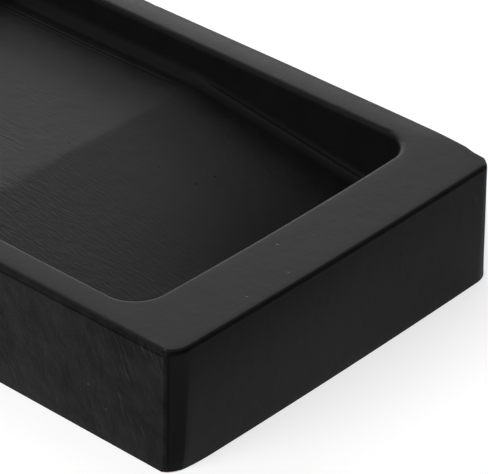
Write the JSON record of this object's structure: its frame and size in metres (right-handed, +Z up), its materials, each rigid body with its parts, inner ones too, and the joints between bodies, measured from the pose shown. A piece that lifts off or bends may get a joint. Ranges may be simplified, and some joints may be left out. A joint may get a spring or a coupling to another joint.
{
  "type": "ink stone",
  "caption": "Rectangular black slate ink stone, one solid block whose well has a level grinding floor that slopes into an ink pool at one end.",
  "frame": {"origin": "middle of the underside", "axes": "+X along the length towards the deep end of the well, +Y across the width, +Z up"},
  "size_m": [0.152, 0.0956, 0.0272],
  "materials": {
    "slate": "fine-ground black slate, satin, with faint grinding marks"
  },
  "bodies": {
    "root": {"ink_stone": "slate"}
  },
  "joints": []
}
